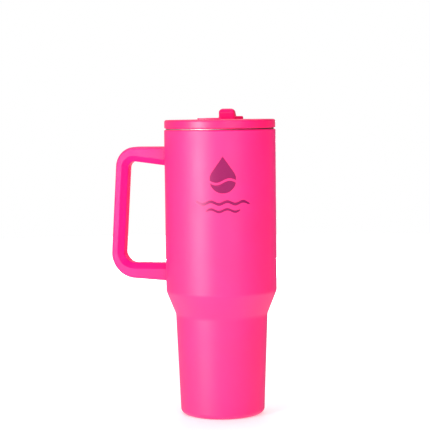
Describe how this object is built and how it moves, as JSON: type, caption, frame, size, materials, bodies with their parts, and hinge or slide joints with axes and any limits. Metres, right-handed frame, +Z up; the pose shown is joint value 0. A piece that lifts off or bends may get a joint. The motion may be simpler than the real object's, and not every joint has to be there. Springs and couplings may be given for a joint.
{
  "type": "insulated tumbler",
  "caption": "Tall double-wall steel tumbler with a slim foot, a side handle and a push-in lid with a flip-top sip closure.",
  "frame": {"origin": "centre of the foot ring on the surface it stands on, on the cup's axis", "axes": "+Z up along the cup's axis, -X towards the handle, +Y towards the sip opening"},
  "size_m": [0.1484, 0.098, 0.2698],
  "materials": {
    "powder_coat": "satin powder coat",
    "bare_steel": "brushed, bare",
    "solder": "dull",
    "getter_alloy": "matte",
    "handle_plastic": "satin",
    "lid_plastic": "satin",
    "lid_inner_plastic": "satin",
    "closure_plastic": "semi-gloss",
    "silicone": "soft, translucent white",
    "soft_plug": "soft",
    "fastener_steel": "bright"
  },
  "bodies": {
    "tumbler": {"outer_shell": "powder_coat", "shell_foot": "powder_coat", "inner_shell": "bare_steel", "liner_cup": "bare_steel", "base_dish": "bare_steel", "vacuum_seal": "solder", "base_pad": "soft_plug", "getter": "getter_alloy", "handle": "handle_plastic", "upper_bracket": "bare_steel", "lower_bracket": "bare_steel", "handle_screws": "fastener_steel", "screw_plugs": "soft_plug"},
    "lid": {"lid_cover": "lid_plastic", "lid_plug": "lid_inner_plastic", "sip_tube": "lid_inner_plastic", "lid_gasket": "silicone", "vent_valve": "silicone", "hinge_pin": "fastener_steel"},
    "closure": {"closure_lever": "closure_plastic", "sip_stopper": "silicone"}
  },
  "joints": [
    {"name": "lid_lift", "type": "slide", "parent": "tumbler", "child": "lid", "axis": [0, 0, 1], "range_m": [0, 0.045]},
    {"name": "closure_flip", "type": "hinge", "parent": "lid", "child": "closure", "pos_m": [0, 0.0225, 0.258], "axis": [1, 0, 0], "range_deg": [0, 80]}
  ]
}
